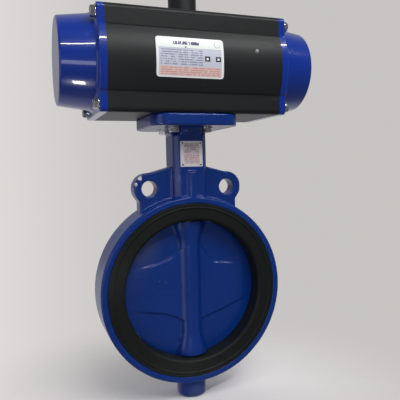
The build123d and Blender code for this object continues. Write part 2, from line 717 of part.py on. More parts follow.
# ---- the assembly ---------------------------------------------------------------------
def assembly():
    parts = {
        "valve_body": valve_body(),
        "seat_liner": seat_liner(),
        "upper_bush": bush(222, 243),
        "middle_bush": bush(128, 148),
        "lower_bush": bush(-140, -118),
        "stem_seals": group([round_seal(STEM_RADIUS, BUSH_RADIUS, z) for z in (152, 158)]),
        "bottom_plug": bottom_plug(),
        "bottom_gasket": pipe(14.9, 6.0, -147.5, -146),
        "neck_nameplate": neck_nameplate(),
        "nameplate_rivets": nameplate_rivets(),
        "flange_bolts": flange_bolts(),
        "flange_washers": flange_washers(),
        "disc": disc(),
        "upper_stem": upper_stem(),
        "lower_stem": lower_stem(),
        "stem_snap_ring": snap_ring(STEM_RADIUS - 0.8, 14.5, 244.5, 246),
        "actuator_body": actuator_body(),
        "gallery_plugs": gallery_plugs(),
        "actuator_label": actuator_label(),
        "pinion_lower_bearing": pinion_bearing(JOURNAL_HOUSING_RADIUS, JOURNAL_RADIUS, 254, 263),
        "pinion_lower_seal": round_seal(JOURNAL_RADIUS, JOURNAL_HOUSING_RADIUS, 251.5),
        "pinion_upper_bearing": pinion_bearing(TOP_HOUSING_RADIUS, TOP_JOURNAL_RADIUS, 370, 379),
        "pinion_upper_seal": round_seal(TOP_JOURNAL_RADIUS, TOP_HOUSING_RADIUS, 381.5),
        "pinion_thrust_washer": pinion_bearing(19.5, TOP_JOURNAL_RADIUS, BODY_TOP, BODY_TOP + 1.2),
        "pinion_snap_ring": snap_ring(TOP_JOURNAL_RADIUS - 1, 18.5, 385.6, 387.1),
        "pinion": pinion(),
        "stop_bolts": stop_bolts(),
        "stop_lock_nuts": stop_lock_nuts(),
        "stop_seals": stop_seals(),
        "indicator_cap": indicator_cap(),
        "indicator_pointers": indicator_pointers(),
        "indicator_screw": indicator_screw(),
    }
    ends = {
        "end_cap": (right_end_cap, other_side),
        "cap_seal": (right_cap_seal, other_side),
        "cap_washers": (right_cap_washers, other_side),
        "cap_bolts": (right_cap_bolts, other_side),
        "piston": (right_piston, half_turned),
        "piston_band": (right_piston_band, half_turned),
        "piston_seal": (right_piston_seal, half_turned),
        "rack_pad": (right_rack_pad, half_turned),
        "springs": (right_springs, half_turned),
    }
    for name, (make, place_left) in ends.items():
        shape = make()
        parts["right_" + name] = shape
        parts["left_" + name] = place_left(shape)
    return parts


os.makedirs("parts", exist_ok=True)
for name, shape in assembly().items():
    export_step(shape, f"parts/{name}.step")
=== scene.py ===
import json
import math

import bmesh
import bpy
from mathutils import Matrix, Vector, noise


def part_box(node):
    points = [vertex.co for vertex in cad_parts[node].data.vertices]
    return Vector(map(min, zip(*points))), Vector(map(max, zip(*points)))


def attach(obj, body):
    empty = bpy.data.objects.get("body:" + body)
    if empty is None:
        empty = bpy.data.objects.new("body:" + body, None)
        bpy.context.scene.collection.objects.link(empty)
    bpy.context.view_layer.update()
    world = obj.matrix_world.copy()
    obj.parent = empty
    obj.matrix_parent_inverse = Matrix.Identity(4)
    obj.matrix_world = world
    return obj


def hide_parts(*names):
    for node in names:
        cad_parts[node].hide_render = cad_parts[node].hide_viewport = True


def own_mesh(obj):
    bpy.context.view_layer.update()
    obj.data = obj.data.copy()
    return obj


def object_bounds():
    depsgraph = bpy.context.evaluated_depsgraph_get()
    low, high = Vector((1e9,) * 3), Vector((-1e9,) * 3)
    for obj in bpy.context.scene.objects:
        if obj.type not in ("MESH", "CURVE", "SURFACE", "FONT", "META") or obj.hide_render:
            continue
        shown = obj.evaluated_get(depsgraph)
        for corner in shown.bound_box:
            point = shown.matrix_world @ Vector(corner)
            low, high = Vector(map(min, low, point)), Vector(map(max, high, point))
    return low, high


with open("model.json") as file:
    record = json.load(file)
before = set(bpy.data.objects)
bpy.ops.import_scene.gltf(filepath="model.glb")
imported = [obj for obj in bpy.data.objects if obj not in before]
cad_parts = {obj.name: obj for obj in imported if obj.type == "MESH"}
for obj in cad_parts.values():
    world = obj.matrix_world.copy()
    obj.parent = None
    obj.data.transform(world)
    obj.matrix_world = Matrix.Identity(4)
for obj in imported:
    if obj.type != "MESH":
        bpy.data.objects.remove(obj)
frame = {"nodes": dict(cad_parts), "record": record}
cad_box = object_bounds()

MM = 0.001

# ---- driving sizes, worked out from the frame ----------------------------------------
seat_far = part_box("seat_liner")[1]
FACE = seat_far.y
SEAT_RADIUS = seat_far.x
body_low, body_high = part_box("actuator_body")
AXIS_HEIGHT = (body_low.z + body_high.z) / 2
disc_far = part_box("disc")[1]
DISC_RADIUS = disc_far.x
HUB_END = disc_far.z

# Bolts of the M8 size.
WASHER_RADIUS = 8 * MM
WASHER_THICKNESS = 1.6 * MM
BOLT_FLATS = 13 * MM
BOLT_HEAD = 5.3 * MM

# Fasteners are turned by up to this many radians, and are sharp past this many degrees.
FREE_TURN = 6.0
EDGE_ANGLE = 32


# ---- shader maths --------------------------------------------------------------------
class Shade:
    """A socket in a material's nodes. Arithmetic on it adds Math nodes."""

    def __init__(self, tree, socket=None):
        self.tree = tree
        self.socket = socket

    def node(self, kind, settings=None, inputs=None, out=0):
        """Any node: its type, its settings, then the values or links of its sockets."""
        made = self.tree.nodes.new(kind)
        for name, value in (settings or {}).items():
            setattr(made, name, value)
        for name, value in (inputs or {}).items():
            if isinstance(value, Shade):
                self.tree.links.new(value.socket, made.inputs[name])
            else:
                made.inputs[name].default_value = value
        return Shade(self.tree, made.outputs[out])

    def math(self, operation, *values, clamp=False):
        settings = {"operation": operation, "use_clamp": clamp}
        return self.node("ShaderNodeMath", settings, dict(enumerate(values)))

    def __add__(self, other):
        return self.math("ADD", self, other)

    def __radd__(self, other):
        return self.math("ADD", other, self)

    def __sub__(self, other):
        return self.math("SUBTRACT", self, other)

    def __rsub__(self, other):
        return self.math("SUBTRACT", other, self)

    def __mul__(self, other):
        return self.math("MULTIPLY", self, other)

    def __rmul__(self, other):
        return self.math("MULTIPLY", other, self)

    def __truediv__(self, other):
        return self.math("DIVIDE", self, other)

    def __gt__(self, other):
        return self.math("GREATER_THAN", self, other)

    def __lt__(self, other):
        return self.math("LESS_THAN", self, other)

    def __abs__(self):
        return self.math("ABSOLUTE", self)

    def step(self, low, high):
        """A smooth rise from 0 at low to 1 at high."""
        inputs = {"Value": self, "From Min": low, "From Max": high}
        return self.node("ShaderNodeMapRange", {"interpolation_type": "SMOOTHSTEP"}, inputs)

    def blend(self, first, second):
        """first where this is 0, second where it is 1, as colours."""
        inputs = {0: self, 6: first, 7: second}
        return self.node("ShaderNodeMix", {"data_type": "RGBA"}, inputs, out=2)

    def axes(self):
        """This vector's X, Y and Z as three numbers."""
        split = self.node("ShaderNodeSeparateXYZ", inputs={0: self})
        return [Shade(self.tree, output) for output in split.socket.node.outputs]


class Finish:
    """A material being made: its nodes, its coordinates and its shader."""

    def __init__(self, name, **sockets):
        self.material = bpy.data.materials.new(name)
        self.material.use_nodes = True
        tree = self.material.node_tree
        self.shader = tree.nodes["Principled BSDF"]
        for socket, value in sockets.items():
            self.shader.inputs[socket.replace("_", " ")].default_value = value
        self.shade = Shade(tree)
        self.place = self.shade.node("ShaderNodeTexCoord", out="Object")

    def noise(self, scale, detail=2.0, stretch=(1, 1, 1), shift=0.0):
        """A noise from 0 to 1 with so many lumps to the metre."""
        settings = {"vector_type": "POINT"}
        inputs = {"Vector": self.place, "Scale": stretch, "Location": (shift, shift, shift)}
        vector = self.shade.node("ShaderNodeMapping", settings, inputs)
        inputs = {"Vector": vector, "Scale": scale, "Detail": detail}
        return self.shade.node("ShaderNodeTexNoise", {}, inputs)

    def spots(self, scale):
        """The distance to the nearest of many scattered points."""
        inputs = {"Vector": self.place, "Scale": scale}
        return self.shade.node("ShaderNodeTexVoronoi", {}, inputs, out="Distance")

    def near(self, centre, radius):
        """1 at the centre, falling to 0 at the radius."""
        settings = {"operation": "DISTANCE"}
        inputs = {0: self.place, 1: centre}
        away = self.shade.node("ShaderNodeVectorMath", settings, inputs, out="Value")
        return 1 - away.step(0.0, radius)

    def feed(self, socket, value):
        """Join a value to one of the shader's sockets."""
        self.shade.tree.links.new(value.socket, self.shader.inputs[socket])

    def bump(self, height, distance, strength=1.0):
        """Relief whose full height, where height is 1, is the distance."""
        inputs = {"Height": height, "Distance": distance, "Strength": strength}
        self.feed("Normal", self.shade.node("ShaderNodeBump", {}, inputs))


def grey(level):
    return (level, level, level, 1.0)


def darker(colour, share):
    """A colour dimmed to a share of itself."""
    return [channel * share for channel in colour[:3]] + [1]


# ---- finishes ------------------------------------------------------------------------
# Chips in the castings' paint, and pale patches of painted sheen on the disc's left and painted
# light on the foot boss, as (x, y, z) and a radius, in mm.
CHIPS = [
    ((-73, -12, 163), 9), ((-78, -12, 154), 6), ((-82, -6, 147), 6), ((79, 2, 158), 3),
    ((-60, 2, 236), 3),
]
PAINTED_SHEEN_PATCHES = [((-74, -8, 66), 46), ((2, -18, -152), 22)]

# Worn cast marks on the disc, about their middle.
MARKS_X = -44 * MM
MARKS_Z = 16 * MM
MARKS_HALF_WIDTH = 14 * MM
MARKS_HALF_HEIGHT = 11 * MM
MARK_ROWS_TO_THE_METRE = 120


def cast_marks(made):
    """Rows of broken, unreadable relief on the disc's left side."""
    x, _, z = made.place.axes()
    across = z * MARK_ROWS_TO_THE_METRE
    row = abs(across.math("FRACT", across) - 0.5) < 0.3
    patch = (abs(x - MARKS_X) < MARKS_HALF_WIDTH) * (abs(z - MARKS_Z) < MARKS_HALF_HEIGHT)
    return made.noise(300, 1, shift=9).step(0.46, 0.54) * row * patch


def casting_enamel(name, marked=False):
    """Thick glossy enamel over a sand casting, with chips at the lugs and pale patches of painted
    sheen and painted light.
    """
    made = Finish(name, Coat_Weight=0.25, Coat_Roughness=0.05, Specular_IOR_Level=0.4)
    lumps = made.noise(38, 3)
    sand = made.noise(420, 2)
    smudge = made.noise(14, 4, shift=3)
    paint = (smudge * 0.9).blend((0.001, 0.020, 0.155, 1), (0.002, 0.030, 0.19, 1))
    # Pale patches: a painted sheen on the disc's upper left and painted light on the foot boss.
    for centre, radius in PAINTED_SHEEN_PATCHES:
        dust_and_sheen = made.near([c * MM for c in centre], radius * MM).step(0.0, 0.8)
        paint = (dust_and_sheen * 0.6).blend(paint, (0.045, 0.058, 0.16, 1))
    ragged = made.noise(260, 3, shift=1)
    chipped = None
    for centre, radius in CHIPS:
        spot = made.near([c * MM for c in centre], radius * MM)
        chipped = spot if chipped is None else chipped.math("MAXIMUM", chipped, spot)
    chip = (chipped + ragged * 0.8 - 0.4).step(0.62, 0.68)
    rust = made.noise(330, 2, shift=5).step(0.48, 0.6)
    bare = rust.blend((0.62, 0.60, 0.66, 1), (0.45, 0.13, 0.05, 1))
    made.feed("Base Color", chip.blend(paint, bare))
    made.feed("Roughness", 0.2 + smudge * 0.16 + chip * 0.4)
    height = lumps * 0.5 + sand * 0.06 - chip * 0.25
    if marked:
        height = height + cast_marks(made) * 0.9
    made.bump(height, 1.4 * MM, 0.55)
    return made.material


def cap_enamel():
    """Powder coat over a die casting: glossy, with a fine orange peel."""
    made = Finish("cap_enamel", Coat_Weight=1.0, Coat_Roughness=0.03, Specular_IOR_Level=0.3)
    peel = made.noise(520, 2)
    lumps = made.noise(24, 2)
    wear = made.noise(60, 4, shift=2).step(0.62, 0.85)
    made.feed("Base Color", wear.blend((0.0, 0.024, 0.25, 1), (0.002, 0.034, 0.28, 1)))
    made.feed("Roughness", 0.24 + wear * 0.2)
    made.bump(peel * 0.10 + lumps * 0.10, 0.8 * MM, 0.5)
    return made.material


def seat_rubber():
    """Moulded rubber, satin, with handling marks and a little dust."""
    made = Finish("seat_rubber", Specular_IOR_Level=0.26)
    grain = made.noise(900, 2)
    marks = made.noise(30, 5, stretch=(1, 1, 2.2))
    dust_and_sheen = made.noise(9, 5, shift=4).step(0.45, 0.8)
    made.feed("Base Color", dust_and_sheen.blend((0.007, 0.009, 0.008, 1), (0.018, 0.020, 0.018, 1)))
    made.feed("Roughness", 0.36 + marks * 0.26)
    made.bump(grain * 0.1 + marks * 0.5, 0.5 * MM, 0.5)
    return made.material


def black_anodised():
    """The extrusion: satin black with fine drawing lines along its length."""
    made = Finish("black_anodised", Specular_IOR_Level=0.4)
    lines = made.noise(60, 3, stretch=(0.35, 14, 14))
    cloud = made.noise(12, 3)
    scuff = made.noise(70, 6, stretch=(0.6, 1, 3), shift=7).step(0.66, 0.8)
    tone = cloud.blend((0.007, 0.009, 0.009, 1), (0.012, 0.013, 0.013, 1))
    made.feed("Base Color", (scuff * 0.4).blend(tone, grey(0.06)))
    made.feed("Roughness", 0.34 + lines * 0.12 + scuff * 0.1)
    made.bump(lines, 0.05 * MM, 0.6)
    return made.material


def metal(name, colour, roughness, stretch=(1, 1, 1), scale=300.0, depth=0.04):
    """Turned, pressed or drawn metal: colour, and a fine grain that runs one way."""
    made = Finish(name, Metallic=1.0)
    grain = made.noise(scale, 3, stretch=stretch)
    stain = made.noise(40, 4, shift=2)
    made.feed("Base Color", stain.step(0.4, 0.8).blend(colour, darker(colour, 0.72)))
    made.feed("Roughness", roughness + grain * 0.18)
    made.bump(grain, depth * MM, 0.5)
    return made.material


def moulded_plastic(name, colour, roughness):
    """Injection-moulded plastic with a fine spark-eroded grain."""
    made = Finish(name, Specular_IOR_Level=0.45)
    grain = made.spots(1300)
    tone = made.noise(35, 3)
    made.feed("Base Color", tone.blend(colour, darker(colour, 0.8)))
    made.feed("Roughness", roughness + grain * 0.1)
    made.bump(grain, 0.06 * MM, 0.6)
    return made.material


def seal_rubber():
    """Black rubber with a grey bloom."""
    made = Finish("seal_rubber")
    bloom = made.noise(120, 4)
    made.feed("Base Color", bloom.blend(grey(0.012), grey(0.03)))
    made.feed("Roughness", 0.5 + bloom * 0.2)
    made.bump(made.noise(700, 2), 0.05 * MM)
    return made.material


def floor_finish():
    """A plain pale board that fades away, further out, to show the room behind it."""
    made = Finish("floor_board")
    x, y, _ = made.place.axes()
    tone = made.noise(3, 3)
    made.feed("Base Color", tone.blend((0.79, 0.765, 0.76, 1), (0.83, 0.805, 0.80, 1)))
    made.feed("Roughness", 0.5 + tone * 0.1)
    away = made.shade.math("SQRT", x * x + y * y)
    board = Shade(made.shade.tree, made.shader.outputs[0])
    clear = made.shade.node("ShaderNodeBsdfTransparent")
    shaders = {0: away.step(0.02, 0.42), 1: board, 2: clear}
    mixed = made.shade.node("ShaderNodeMixShader", {}, shaders)
    surface = made.material.node_tree.nodes["Material Output"].inputs["Surface"]
    made.shade.tree.links.new(mixed.socket, surface)
    return made.material


def printed_rows(made, u, v, rows, reach, gaps):
    """Broken strokes in evenly spaced rows, unreadable at any size.

    reach is the print's place, as its least and most u and v. More gaps leave fewer strokes.
    """
    across = (v * rows).math("FRACT", v * rows)
    row = abs(across - 0.5) < 0.27
    broken = made.noise(430, 1, stretch=(1, 1, 0.35)).step(gaps - 0.03, gaps + 0.03)
    return row * broken * between(u, reach[0], reach[1]) * between(v, reach[2], reach[3])


def between(value, low, high):
    """1 where a value is between two others, and 0 elsewhere."""
    return (value > low) * (value < high)


def plate_places(made, node):
    """How far across and how far up a plate each point is, from 0 to 1, and its shape."""
    low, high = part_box(node)
    x, _, z = made.place.axes()
    u = (x - low.x) / (high.x - low.x)
    v = (z - low.z) / (high.z - low.z)
    return u, v, (high.x - low.x) / (high.z - low.z)


LABEL_HEADER = 0.73
LABEL_FOOTER = 0.27


def label_print():
    """The actuator's plate: a plain header, rows of unreadable print and plain marks."""
    made = Finish("label_print", Specular_IOR_Level=0.5, Coat_Weight=0.3, Coat_Roughness=0.15)
    u, v, ratio = plate_places(made, "actuator_label")
    header = v > LABEL_HEADER
    footer = v < LABEL_FOOTER
    margin = between(u, 0.035, 0.965) * between(v, 0.04, 0.97)
    table = header.blend((0.56, 0.57, 0.66, 1), (0.76, 0.80, 0.76, 1))
    table = footer.blend(table, (0.72, 0.52, 0.50, 1))
    ink = margin.blend((0.80, 0.81, 0.82, 1), table)
    rows = printed_rows(made, u, v, 17, (0.06, 0.68, 0.30, 0.70), 0.44)
    ink = (rows * 0.75).blend(ink, (0.16, 0.18, 0.28, 1))
    warm = printed_rows(made, u, v, 19, (0.06, 0.94, 0.06, 0.26), 0.42)
    ink = (warm * 0.7).blend(ink, (0.55, 0.22, 0.16, 1))
    title = printed_rows(made, u, (v - 0.78) * 0.4, 16, (0.25, 0.63, 0.012, 0.062), 0.43)
    ink = title.blend(ink, (0.02, 0.02, 0.13, 1))
    dot = (abs(u - 0.43) < 0.011) * (abs(v - 0.755) < 0.018)
    ink = dot.blend(ink, (0.02, 0.02, 0.03, 1))
    rule = (abs(v - LABEL_HEADER + 0.005) < 0.006) * margin
    ink = (rule * 0.6).blend(ink, (0.25, 0.27, 0.36, 1))
    for centre in (0.75, 0.915):
        aside = abs(u - centre) * ratio
        above = abs(v - 0.485)
        square = (aside < 0.072) * (above < 0.065)
        core = (aside < 0.03) * (above < 0.028)
        ink = square.blend(ink, (0.01, 0.01, 0.015, 1))
        ink = core.blend(ink, (0.85, 0.86, 0.88, 1))
    aside = (u - 0.905) * ratio
    above = v - 0.86
    away = made.shade.math("SQRT", aside * aside + above * above)
    ring = abs(away - 0.075) < 0.012
    ink = (ring * 0.6).blend(ink, (0.3, 0.34, 0.34, 1))
    made.feed("Base Color", ink)
    made.feed("Roughness", 0.28 + made.noise(60, 3) * 0.14)
    return made.material


def nameplate_print():
    """The neck's plate: satin metal with a frame and rows of unreadable print."""
    made = Finish("nameplate_print", Metallic=0.3)
    u, v, _ = plate_places(made, "neck_nameplate")
    field = between(u, 0.16, 0.86) * between(v, 0.10, 0.92)
    tone = field.blend((0.74, 0.71, 0.74, 1), (0.70, 0.58, 0.60, 1))
    dark = printed_rows(made, u, v, 13, (0.18, 0.84, 0.52, 0.9), 0.45)
    warm = printed_rows(made, u, v, 13, (0.18, 0.84, 0.12, 0.5), 0.45)
    ink = (dark * 0.7).blend(tone, (0.12, 0.11, 0.13, 1))
    ink = (warm * 0.6).blend(ink, (0.5, 0.16, 0.12, 1))
    made.feed("Base Color", ink)
    made.feed("Roughness", 0.36 + made.noise(200, 3, stretch=(0.1, 1, 1)) * 0.16)
    return made.material


# ---- mesh helpers --------------------------------------------------------------------
def new_piece(name, mesh, material, smooth=True):
    """A mesh as a named object in the scene, with its one material."""
    piece = bpy.data.objects.new(name, mesh)
    bpy.context.scene.collection.objects.link(piece)
    mesh.materials.clear()
    mesh.materials.append(material)
    mesh.polygons.foreach_set("use_smooth", [smooth] * len(mesh.polygons))
    return piece


def mesh_from(name, points, faces):
    """A mesh of points and the faces that join them by number."""
    mesh = bpy.data.meshes.new(name)
    mesh.from_pydata(points, [], faces)
    mesh.update()
    return mesh


def rows_of(start, count, number):
    """The numbers of so many rows of count points each, that follow one another."""
    return [list(range(start + i * count, start + (i + 1) * count)) for i in range(number)]


def bridged(rows):
    """The four-sided faces between rows of points that each go round and close."""
    faces = []
    for lower, upper in zip(rows, rows[1:]):
        for j in range(len(lower)):
            k = (j + 1) % len(lower)
            faces.append((lower[j], lower[k], upper[k], upper[j]))
    return faces


def outward(mesh):
    """Merge doubles and turn every face outwards."""
    work = bmesh.new()
    work.from_mesh(mesh)
    bmesh.ops.remove_doubles(work, verts=work.verts, dist=1e-6)
    bmesh.ops.recalc_face_normals(work, faces=work.faces)
    work.to_mesh(mesh)
    work.free()
    return mesh


def applied(piece):
    """The piece with its modifiers turned into plain mesh."""
    graph = bpy.context.evaluated_depsgraph_get()
    mesh = bpy.data.meshes.new_from_object(piece.evaluated_get(graph))
    piece.modifiers.clear()
    piece.data = mesh
    return piece


def shade_by_angle(piece, degrees):
    """Smooth shading, with sharp edges where faces meet at more than the angle."""
    work = bmesh.new()
    work.from_mesh(piece.data)
    for edge in work.edges:
        if len(edge.link_faces) == 2:
            edge.smooth = edge.calc_face_angle(0.0) < math.radians(degrees)
    work.to_mesh(piece.data)
    work.free()
    piece.data.polygons.foreach_set("use_smooth", [True] * len(piece.data.polygons))


def lathe(name, outline, axis, centre, segments):
    """A closed (radius, height) outline spun about an axis, as a mesh."""
    points = []
    for i in range(segments):
        turn = 2 * math.pi * i / segments
        for radius, height in outline:
            a, b = radius * math.cos(turn), radius * math.sin(turn)
            spot = {"X": (height, a, b), "Y": (a, height, b), "Z": (a, b, height)}[axis]
            points.append(Vector(spot) + Vector(centre))
    rows = rows_of(0, len(outline), segments)
    return outward(mesh_from(name, points, bridged(rows + rows[:1])))


def arc(centre, radius, start, end, steps):
    """Points of an arc, from start to end in degrees."""
    turns = [math.radians(start + (end - start) * i / steps) for i in range(steps + 1)]
    return [(centre[0] + radius * math.cos(t), centre[1] + radius * math.sin(t)) for t in turns]


# ---- cast pieces ---------------------------------------------------------------------
def cast_skin(name, node, voxel, passes, roughness, keep, material):
    """A CAD casting with its corners rounded and its surface a little uneven."""
    piece = new_piece(name, outward(frame["nodes"][node].data.copy()), material)
    remesh = piece.modifiers.new("remesh", "REMESH")
    remesh.mode = "VOXEL"
    remesh.voxel_size = voxel
    relax = piece.modifiers.new("relax", "SMOOTH")
    relax.factor = 0.5
    relax.iterations = passes
    thin = piece.modifiers.new("thin", "DECIMATE")
    thin.ratio = keep
    applied(piece)
    normals = [vertex.normal.copy() for vertex in piece.data.vertices]
    for vertex, normal in zip(piece.data.vertices, normals):
        swell = noise.noise(vertex.co * 45) + 0.4 * noise.noise(vertex.co * 140)
        vertex.co += normal * swell * roughness
    piece.data.polygons.foreach_set("use_smooth", [True] * len(piece.data.polygons))
    return piece


def make_valve_body(material):
    """The ring, lugs, neck, top flange and foot, as one casting."""
    body = cast_skin("cast_valve_body", "valve_body", 1.5 * MM, 5, 0.12 * MM, 0.6, material)
    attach(body, "housing")
    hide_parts("valve_body")


# ---- disc ----------------------------------------------------------------------------
HUB_RADIUS = 17 * MM
HUB_FLARE = 3.6 * MM
HUB_WIDENING = 4 * MM
HUB_FILLET = 5 * MM
FLARE_START = 62 * MM
PLATE_MIDDLE = 7.2 * MM
PLATE_RIM = 5.2 * MM
PANEL_RISE = 2.4 * MM
PANEL_SLOPE = (-1.6 * MM, 1.4 * MM)
PANEL_FADE = (62 * MM, 100 * MM)
DISC_RINGS = 110
DISC_SPOKES = 300
RIM_STEPS = 8
CASTING_UNEVEN = 0.10 * MM


def rise(value, low, high):
    """A smooth step from 0 to 1."""
    t = min(max((value - low) / (high - low), 0.0), 1.0)
    return t * t * (3 - 2 * t)


# The raised panel's upper and lower edges on each side of the hub, as (x, z) in mm.
RIGHT_PANEL_TOP = [(0, 75), (17, 62), (22, 55), (28, 43), (37, 35), (60, 32), (110, 28)]
RIGHT_PANEL_FOOT = [(0, -52), (17, -48), (24, -45), (48, -37.5), (78, -27.5), (110, -17)]
LEFT_PANEL_TOP = [(0, 68), (17, 57), (22, 51), (28, 46), (53, 37.5), (82, 34), (110, 32)]
LEFT_PANEL_FOOT = [(0, -54), (17, -45), (22, -41.5), (41, -34), (73, -28.5), (110, -24)]


def follow(edge, x):
    """The height of a panel's edge at a distance x from the hub's middle."""
    for (x0, z0), (x1, z1) in zip(edge, edge[1:]):
        if x <= x1 * MM:
            return (z0 + (z1 - z0) * (x / MM - x0) / (x1 - x0)) * MM
    return edge[-1][1] * MM


def disc_height(x, z):
    """How far the disc's face stands out from its middle plane."""
    away = math.hypot(x, z)
    plate = PLATE_MIDDLE + (PLATE_RIM - PLATE_MIDDLE) * (away / DISC_RADIUS) ** 2
    side = abs(x)
    upper = follow(RIGHT_PANEL_TOP if x > 0 else LEFT_PANEL_TOP, side)
    lower = follow(RIGHT_PANEL_FOOT if x > 0 else LEFT_PANEL_FOOT, side)
    inside = min((upper - z) * 0.9, z - lower)
    fade = 1 - rise(away, *PANEL_FADE)
    plate += PANEL_RISE * fade * rise(inside, *PANEL_SLOPE)
    radius = HUB_RADIUS + HUB_FLARE * rise(abs(z), FLARE_START, HUB_END)
    spread = radius + HUB_WIDENING * rise(abs(z), FLARE_START, HUB_END)
    barrel = radius * math.sqrt(max(1 - (x / spread) ** 2, 0.0))
    mix = max(HUB_FILLET - abs(plate - barrel), 0.0) / HUB_FILLET
    return max(plate, barrel) + mix * mix * HUB_FILLET / 4


def disc_point(a, b):
    """Where a point of the unit circle lies on the disc's face."""
    away = math.hypot(a, b)
    if away < 1e-9:
        return 0.0, 0.0, disc_height(0.0, 0.0)
    dx, dz = a / away, b / away
    reach = DISC_RADIUS
    for _ in range(6):
        stand = disc_height(dx * reach, dz * reach)
        reach = math.sqrt(DISC_RADIUS ** 2 - stand ** 2)
    x, z = dx * reach * away, dz * reach * away
    return x, z, disc_height(x, z)


def add_disc_face(points, faces, side):
    """Add the relief face on one side, and give its last row of points, at the rim."""
    rows = rows_of(len(points), DISC_SPOKES, DISC_RINGS)
    for i in range(1, DISC_RINGS + 1):
        share = i / DISC_RINGS
        for j in range(DISC_SPOKES):
            turn = 2 * math.pi * j / DISC_SPOKES
            x, z, stand = disc_point(share * math.cos(turn), share * math.sin(turn))
            z = max(min(z, HUB_END), -HUB_END)
            uneven = CASTING_UNEVEN * noise.noise(Vector((x, side * 0.02, z)) * 70)
            points.append((x, side * (stand + uneven * (1 - share ** 8)), z))
    centre = len(points)
    points.append((0.0, side * disc_height(0.0, 0.0), 0.0))
    inner = rows[0]
    faces += [(centre, inner[j], inner[(j + 1) % DISC_SPOKES]) for j in range(DISC_SPOKES)]
    faces += bridged(rows)
    return rows[-1]


def rim_point(front, back, share):
    """A point of the ball-shaped rim, between a point of each face."""
    x, y, z = front
    turn = math.atan2(z, x)
    depth = y + (back[1] - y) * share
    ball = math.sqrt(DISC_RADIUS ** 2 - depth ** 2)
    return ball * math.cos(turn), depth, max(min(ball * math.sin(turn), HUB_END), -HUB_END)


def make_disc(material):
    """The disc: two relief faces joined by a ball-shaped rim."""
    points, faces = [], []
    front = add_disc_face(points, faces, -1)
    back = add_disc_face(points, faces, 1)
    between_faces = rows_of(len(points), DISC_SPOKES, RIM_STEPS - 1)
    for step in range(1, RIM_STEPS):
        for near, far in zip(front, back):
            points.append(rim_point(points[near], points[far], step / RIM_STEPS))
    faces += bridged([front] + between_faces + [back])
    piece = new_piece("cast_disc", outward(mesh_from("cast_disc", points, faces)), material)
    shade_by_angle(piece, 50)
    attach(piece, "rotor")
    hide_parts("disc")


# ---- rubber seat ---------------------------------------------------------------------
SEAT_BORE = 100.5 * MM
SEAT_LIP = 5 * MM
SEAT_WALL = 112 * MM
SEAT_RIDGE = 116 * MM
RIDGE_HALF_WIDTH = 9 * MM
FLANGE_BACK = 25.5 * MM
BEAD_RADIUS = 119 * MM
SEAT_EDGE = 1.2 * MM


def make_seat(material):
    """The seat: a rounded lip at the bore, a hollow face and a bead near its rim."""
    face = FACE - 0.8 * MM
    half = [(SEAT_BORE, 0.0), (SEAT_BORE, 0.4 * face), (SEAT_BORE, face - SEAT_LIP)]
    half += arc((SEAT_BORE + SEAT_LIP, face - SEAT_LIP), SEAT_LIP, 180, 90, 8)[1:]
    half += [(SEAT_BORE + 9 * MM, face - 0.25 * MM), (BEAD_RADIUS - 4 * MM, face - 0.25 * MM)]
    half += arc((BEAD_RADIUS, face - 1.2 * MM), 2.0 * MM, 150, 30, 8)
    half += [(BEAD_RADIUS + 3.4 * MM, face - 0.2 * MM), (SEAT_RADIUS - SEAT_EDGE, face - 0.1 * MM)]
    half += arc((SEAT_RADIUS - SEAT_EDGE, face - 1.3 * MM), SEAT_EDGE, 90, 0, 4)
    half += [(SEAT_RADIUS, FLANGE_BACK), (SEAT_WALL, FLANGE_BACK)]
    half += [(SEAT_WALL, RIDGE_HALF_WIDTH), (SEAT_RIDGE, RIDGE_HALF_WIDTH)]
    outline = half + [(radius, -height) for radius, height in reversed(half[1:])]
    mesh = lathe("moulded_seat", outline, "Y", (0, 0, 0), 256)
    for vertex in mesh.vertices:
        vertex.co.y += 0.10 * MM * noise.noise(vertex.co * 22)
    limit_depth(mesh, FACE)
    piece = new_piece("moulded_seat", mesh, material)
    shade_by_angle(piece, 40)
    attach(piece, "housing")
    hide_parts("seat_liner")


def limit_depth(mesh, depth):
    """Hold a mesh between the two faces of the valve."""
    for vertex in mesh.vertices:
        vertex.co.y = max(min(vertex.co.y, depth), -depth)


# ---- fasteners -----------------------------------------------------------------------
def hex_radius(turn, flats):
    """How far a hexagon's side is from its centre, in the direction turn."""
    sixth = math.pi / 3
    return flats / 2 / math.cos((turn + sixth / 2) % sixth - sixth / 2)


def hex_head_mesh(flats, height, washer_radius, washer_height):
    """A washer and a chamfered hexagon head, standing up from the origin."""
    count = 48
    turns = [2 * math.pi * i / count for i in range(count)]
    top = washer_height + height
    chamfer = height * 0.22
    edge = 0.3 * MM
    levels = [([radius] * count, level) for radius, level in (
        (washer_radius - 0.4 * MM, 0.0), (washer_radius, edge),
        (washer_radius, washer_height - edge), (washer_radius - edge, washer_height),
        (flats * 0.5, washer_height))]
    hexagon = [hex_radius(turn, flats) for turn in turns]
    levels += [(hexagon, washer_height), (hexagon, washer_height + 0.04 * height)]
    for step in range(7):
        drop = chamfer * (1 - step / 6)
        cone = flats * 0.47 + drop * 2.0
        levels.append(([min(radius, cone) for radius in hexagon], top - drop))
    levels += [([flats * 0.36] * count, top), ([flats * 0.33] * count, top - edge)]
    points = [(radius * math.cos(turn), radius * math.sin(turn), level)
              for radii, level in levels for turn, radius in zip(turns, radii)]
    rows = rows_of(0, count, len(levels))
    return outward(mesh_from("hex_head", points, bridged(rows) + [rows[0], rows[-1]]))


def dome_mesh(radius, height):
    """A domed head of a rivet or a plug, standing up from the origin."""
    skirt = 0.15 * height
    outline = [(0.02 * MM, 0.0), (radius, 0.0), (radius, skirt)]
    for slope in (20, 40, 60, 80):
        turn = math.radians(slope)
        outline.append((radius * math.cos(turn), skirt + (height - skirt) * math.sin(turn)))
    outline.append((0.02 * MM, height))
    return lathe("domed_head", outline, "Z", (0, 0, 0), 24)


